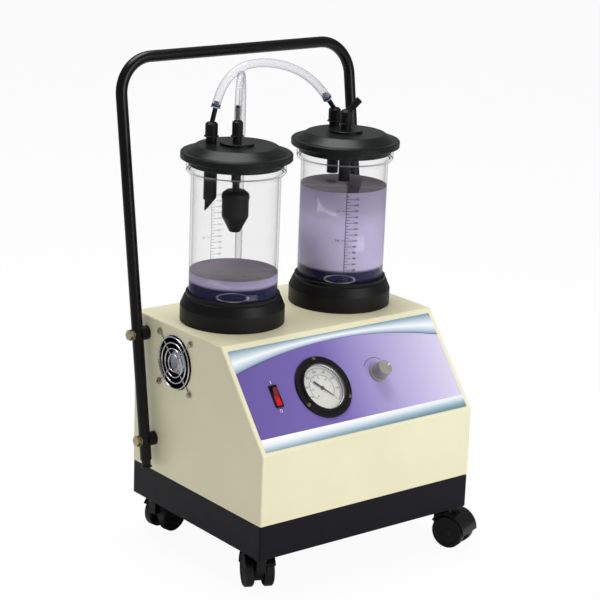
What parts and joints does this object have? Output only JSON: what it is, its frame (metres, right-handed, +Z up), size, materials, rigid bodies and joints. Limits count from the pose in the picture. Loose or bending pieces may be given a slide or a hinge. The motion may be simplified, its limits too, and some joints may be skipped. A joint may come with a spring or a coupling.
{
  "type": "vacuum aspirator",
  "caption": "Twin-jar vacuum aspirator on casters, with push handle, gauge, rocker switch and vacuum knob on a sloping panel",
  "frame": {"origin": "on the floor under the middle of the cabinet", "axes": "+X right, +Y to the back, +Z up; the control panel looks to -Y"},
  "size_m": [0.4262, 0.3597, 0.68],
  "materials": {
    "tray_paint": "satin powder coat",
    "cabinet_paint": "semi-gloss powder coat",
    "film_print": "printed polyester film",
    "black_plastic": "moulded, soft sheen",
    "dial_white": "matt print",
    "needle_black": "matt",
    "clear_sheet": "clear, polished",
    "brass_screw": "turned",
    "red_plastic": "gloss",
    "grey_plastic": "moulded, fluted",
    "clear_jar": "clear polycarbonate",
    "black_rubber": "matt",
    "fitting_plastic": "moulded, soft sheen",
    "white_plastic": "moulded, semi-gloss",
    "fitting_metal": "plated",
    "clear_hose": "clear flexible tube",
    "handle_paint": "gloss powder coat",
    "zinc_steel": "zinc plated",
    "chrome_wire": "plated wire",
    "cast_aluminium": "die cast",
    "bright_steel": "ground",
    "inner_silicone": "silicone",
    "wheel_plastic": "moulded nylon"
  },
  "bodies": {
    "machine": {"base_tray": "tray_paint", "cabinet_shell": "cabinet_paint", "rear_panel": "cabinet_paint", "fascia_film": "film_print", "gauge_case": "black_plastic", "gauge_dial": "dial_white", "gauge_lens": "clear_sheet", "gauge_screws": "brass_screw", "switch_housing": "black_plastic", "regulator_valve": "brass_screw", "jar_ring_left": "black_plastic", "jar_ring_right": "black_plastic", "vacuum_port": "fitting_metal", "handle_tube": "handle_paint", "handle_caps": "black_plastic", "handle_spacers": "black_plastic", "handle_bolts": "zinc_steel", "fan_frame": "black_plastic", "fan_grille": "chrome_wire", "fan_screws": "zinc_steel", "case_screws": "zinc_steel", "mains_inlet": "black_plastic", "motor_housing": "cast_aluminium", "shaft_bearings": "bright_steel", "rubber_mounts": "black_rubber", "crankcase": "cast_aluminium", "cylinder": "cast_aluminium", "cylinder_head": "cast_aluminium", "inner_tubes": "inner_silicone", "capacitor": "white_plastic", "caster_stems": "zinc_steel"},
    "needle": {"gauge_needle": "needle_black"},
    "rocker": {"switch_rocker": "red_plastic"},
    "knob": {"vacuum_knob": "grey_plastic"},
    "fan": {"fan_rotor": "black_plastic"},
    "shaft": {"pump_shaft": "bright_steel"},
    "rod": {"piston_rod": "cast_aluminium"},
    "left_jar": {"jar_left": "clear_jar"},
    "left_lid": {"lid_left": "black_plastic", "lid_gasket_left": "black_rubber", "fittings_left": "fitting_plastic", "inlet_tube": "fitting_plastic", "overflow_valve": "fitting_plastic", "link_hose": "clear_hose", "vacuum_hose": "clear_hose"},
    "float": {"valve_float": "fitting_plastic"},
    "right_jar": {"jar_right": "clear_jar"},
    "right_lid": {"lid_right": "black_plastic", "lid_gasket_right": "black_rubber", "fittings_right": "fitting_plastic", "drop_tubes": "fitting_plastic"},
    "swivel_front_left": {"caster_hood_front_left": "black_plastic"},
    "roll_front_left": {"caster_wheels_front_left": "wheel_plastic"},
    "swivel_front_right": {"caster_hood_front_right": "black_plastic"},
    "roll_front_right": {"caster_wheels_front_right": "wheel_plastic"},
    "swivel_rear_left": {"caster_hood_rear_left": "black_plastic"},
    "roll_rear_left": {"caster_wheels_rear_left": "wheel_plastic"},
    "swivel_rear_right": {"caster_hood_rear_right": "black_plastic"},
    "roll_rear_right": {"caster_wheels_rear_right": "wheel_plastic"}
  },
  "joints": [
    {"name": "needle_turn", "type": "hinge", "parent": "machine", "child": "needle", "pos_m": [-0.049, -0.1031, 0.26087], "axis": [0, -0.7821, 0.6231], "range_deg": [0, 270]},
    {"name": "rocker_tip", "type": "hinge", "parent": "machine", "child": "rocker", "pos_m": [-0.128, -0.10122, 0.26065], "axis": [-1, 0, 0], "range_deg": [0, 18]},
    {"name": "knob_turn", "type": "hinge", "parent": "machine", "child": "knob", "pos_m": [0.0485, -0.10061, 0.26399], "axis": [0, -0.7821, 0.6231], "range_deg": [0, 270]},
    {"name": "fan_spin", "type": "hinge", "parent": "machine", "child": "fan", "pos_m": [-0.17, 0.052, 0.275], "axis": [1, 0, 0], "continuous": true},
    {"name": "shaft_spin", "type": "hinge", "parent": "machine", "child": "shaft", "pos_m": [0, 0.03, 0.16], "axis": [1, 0, 0], "continuous": true},
    {"name": "rod_swing", "type": "hinge", "parent": "shaft", "child": "rod", "pos_m": [0.064, 0.03, 0.156], "axis": [1, 0, 0], "continuous": true},
    {"name": "left_jar_lift", "type": "slide", "parent": "machine", "child": "left_jar", "axis": [0, 0, 1], "range_m": [0, 0.1]},
    {"name": "left_lid_lift", "type": "slide", "parent": "left_jar", "child": "left_lid", "axis": [0, 0, 1], "range_m": [0, 0.12]},
    {"name": "float_lift", "type": "slide", "parent": "left_lid", "child": "float", "axis": [0, 0, 1], "range_m": [0, 0.005]},
    {"name": "right_jar_lift", "type": "slide", "parent": "machine", "child": "right_jar", "axis": [0, 0, 1], "range_m": [0, 0.1]},
    {"name": "right_lid_lift", "type": "slide", "parent": "right_jar", "child": "right_lid", "axis": [0, 0, 1], "range_m": [0, 0.12]},
    {"name": "swivel_front_left", "type": "hinge", "parent": "machine", "child": "swivel_front_left", "pos_m": [-0.1605, -0.124, 0.05], "axis": [0, 0, 1], "continuous": true},
    {"name": "roll_front_left", "type": "hinge", "parent": "swivel_front_left", "child": "roll_front_left", "pos_m": [-0.15173, -0.10602, 0.0235], "axis": [-0.8988, 0.4384, 0], "continuous": true},
    {"name": "swivel_front_right", "type": "hinge", "parent": "machine", "child": "swivel_front_right", "pos_m": [0.1605, -0.124, 0.05], "axis": [0, 0, 1], "continuous": true},
    {"name": "roll_front_right", "type": "hinge", "parent": "swivel_front_right", "child": "roll_front_right", "pos_m": [0.16734, -0.14279, 0.0235], "axis": [0.9397, 0.342, 0], "continuous": true},
    {"name": "swivel_rear_left", "type": "hinge", "parent": "machine", "child": "swivel_rear_left", "pos_m": [-0.1605, 0.124, 0.05], "axis": [0, 0, 1], "continuous": true},
    {"name": "roll_rear_left", "type": "hinge", "parent": "swivel_rear_left", "child": "roll_rear_left", "pos_m": [-0.14094, 0.12816, 0.0235], "axis": [-0.2079, 0.9781, 0], "continuous": true},
    {"name": "swivel_rear_right", "type": "hinge", "parent": "machine", "child": "swivel_rear_right", "pos_m": [0.1605, 0.124, 0.05], "axis": [0, 0, 1], "continuous": true},
    {"name": "roll_rear_right", "type": "hinge", "parent": "swivel_rear_right", "child": "roll_rear_right", "pos_m": [0.14318, 0.134, 0.0235], "axis": [-0.5, -0.866, 0], "continuous": true}
  ],
  "couplings": [
    {"joint": "rod_swing", "follows": "shaft_spin", "ratio": -1},
    {"joint": "right_jar_lift", "follows": "left_jar_lift", "ratio": 1},
    {"joint": "right_lid_lift", "follows": "left_lid_lift", "ratio": 1}
  ]
}
